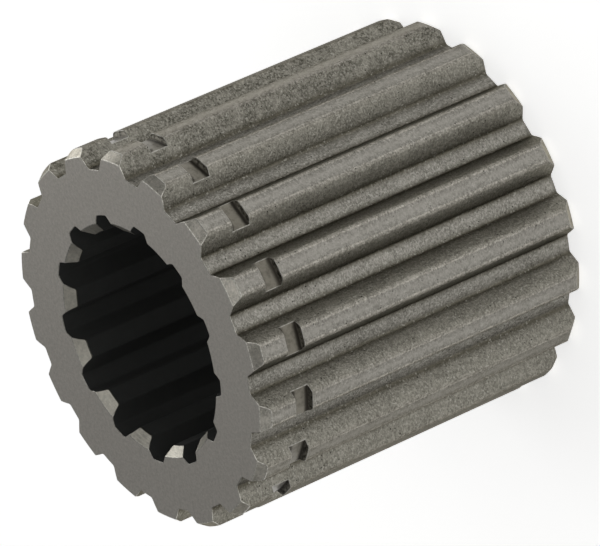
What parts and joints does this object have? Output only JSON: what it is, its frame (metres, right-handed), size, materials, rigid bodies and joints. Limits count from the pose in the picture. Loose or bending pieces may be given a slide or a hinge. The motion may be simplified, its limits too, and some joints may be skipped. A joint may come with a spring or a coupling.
{
  "type": "splined bushing",
  "caption": "Straight steel bushing with involute splines outside and in the bore, chamfered ends and a groove for a retaining ring.",
  "frame": {"origin": "centre of the plain end face, which it stands on", "axes": "+Z along the axis to the end with the ring groove, +X through the middle of one outer tooth and of the bore space under it"},
  "size_m": [0.0346, 0.0344, 0.0353],
  "materials": {
    "steel": "grey phosphated teeth, turned ends, darker bore"
  },
  "bodies": {
    "root": {"splined_bushing": "steel"}
  },
  "joints": []
}
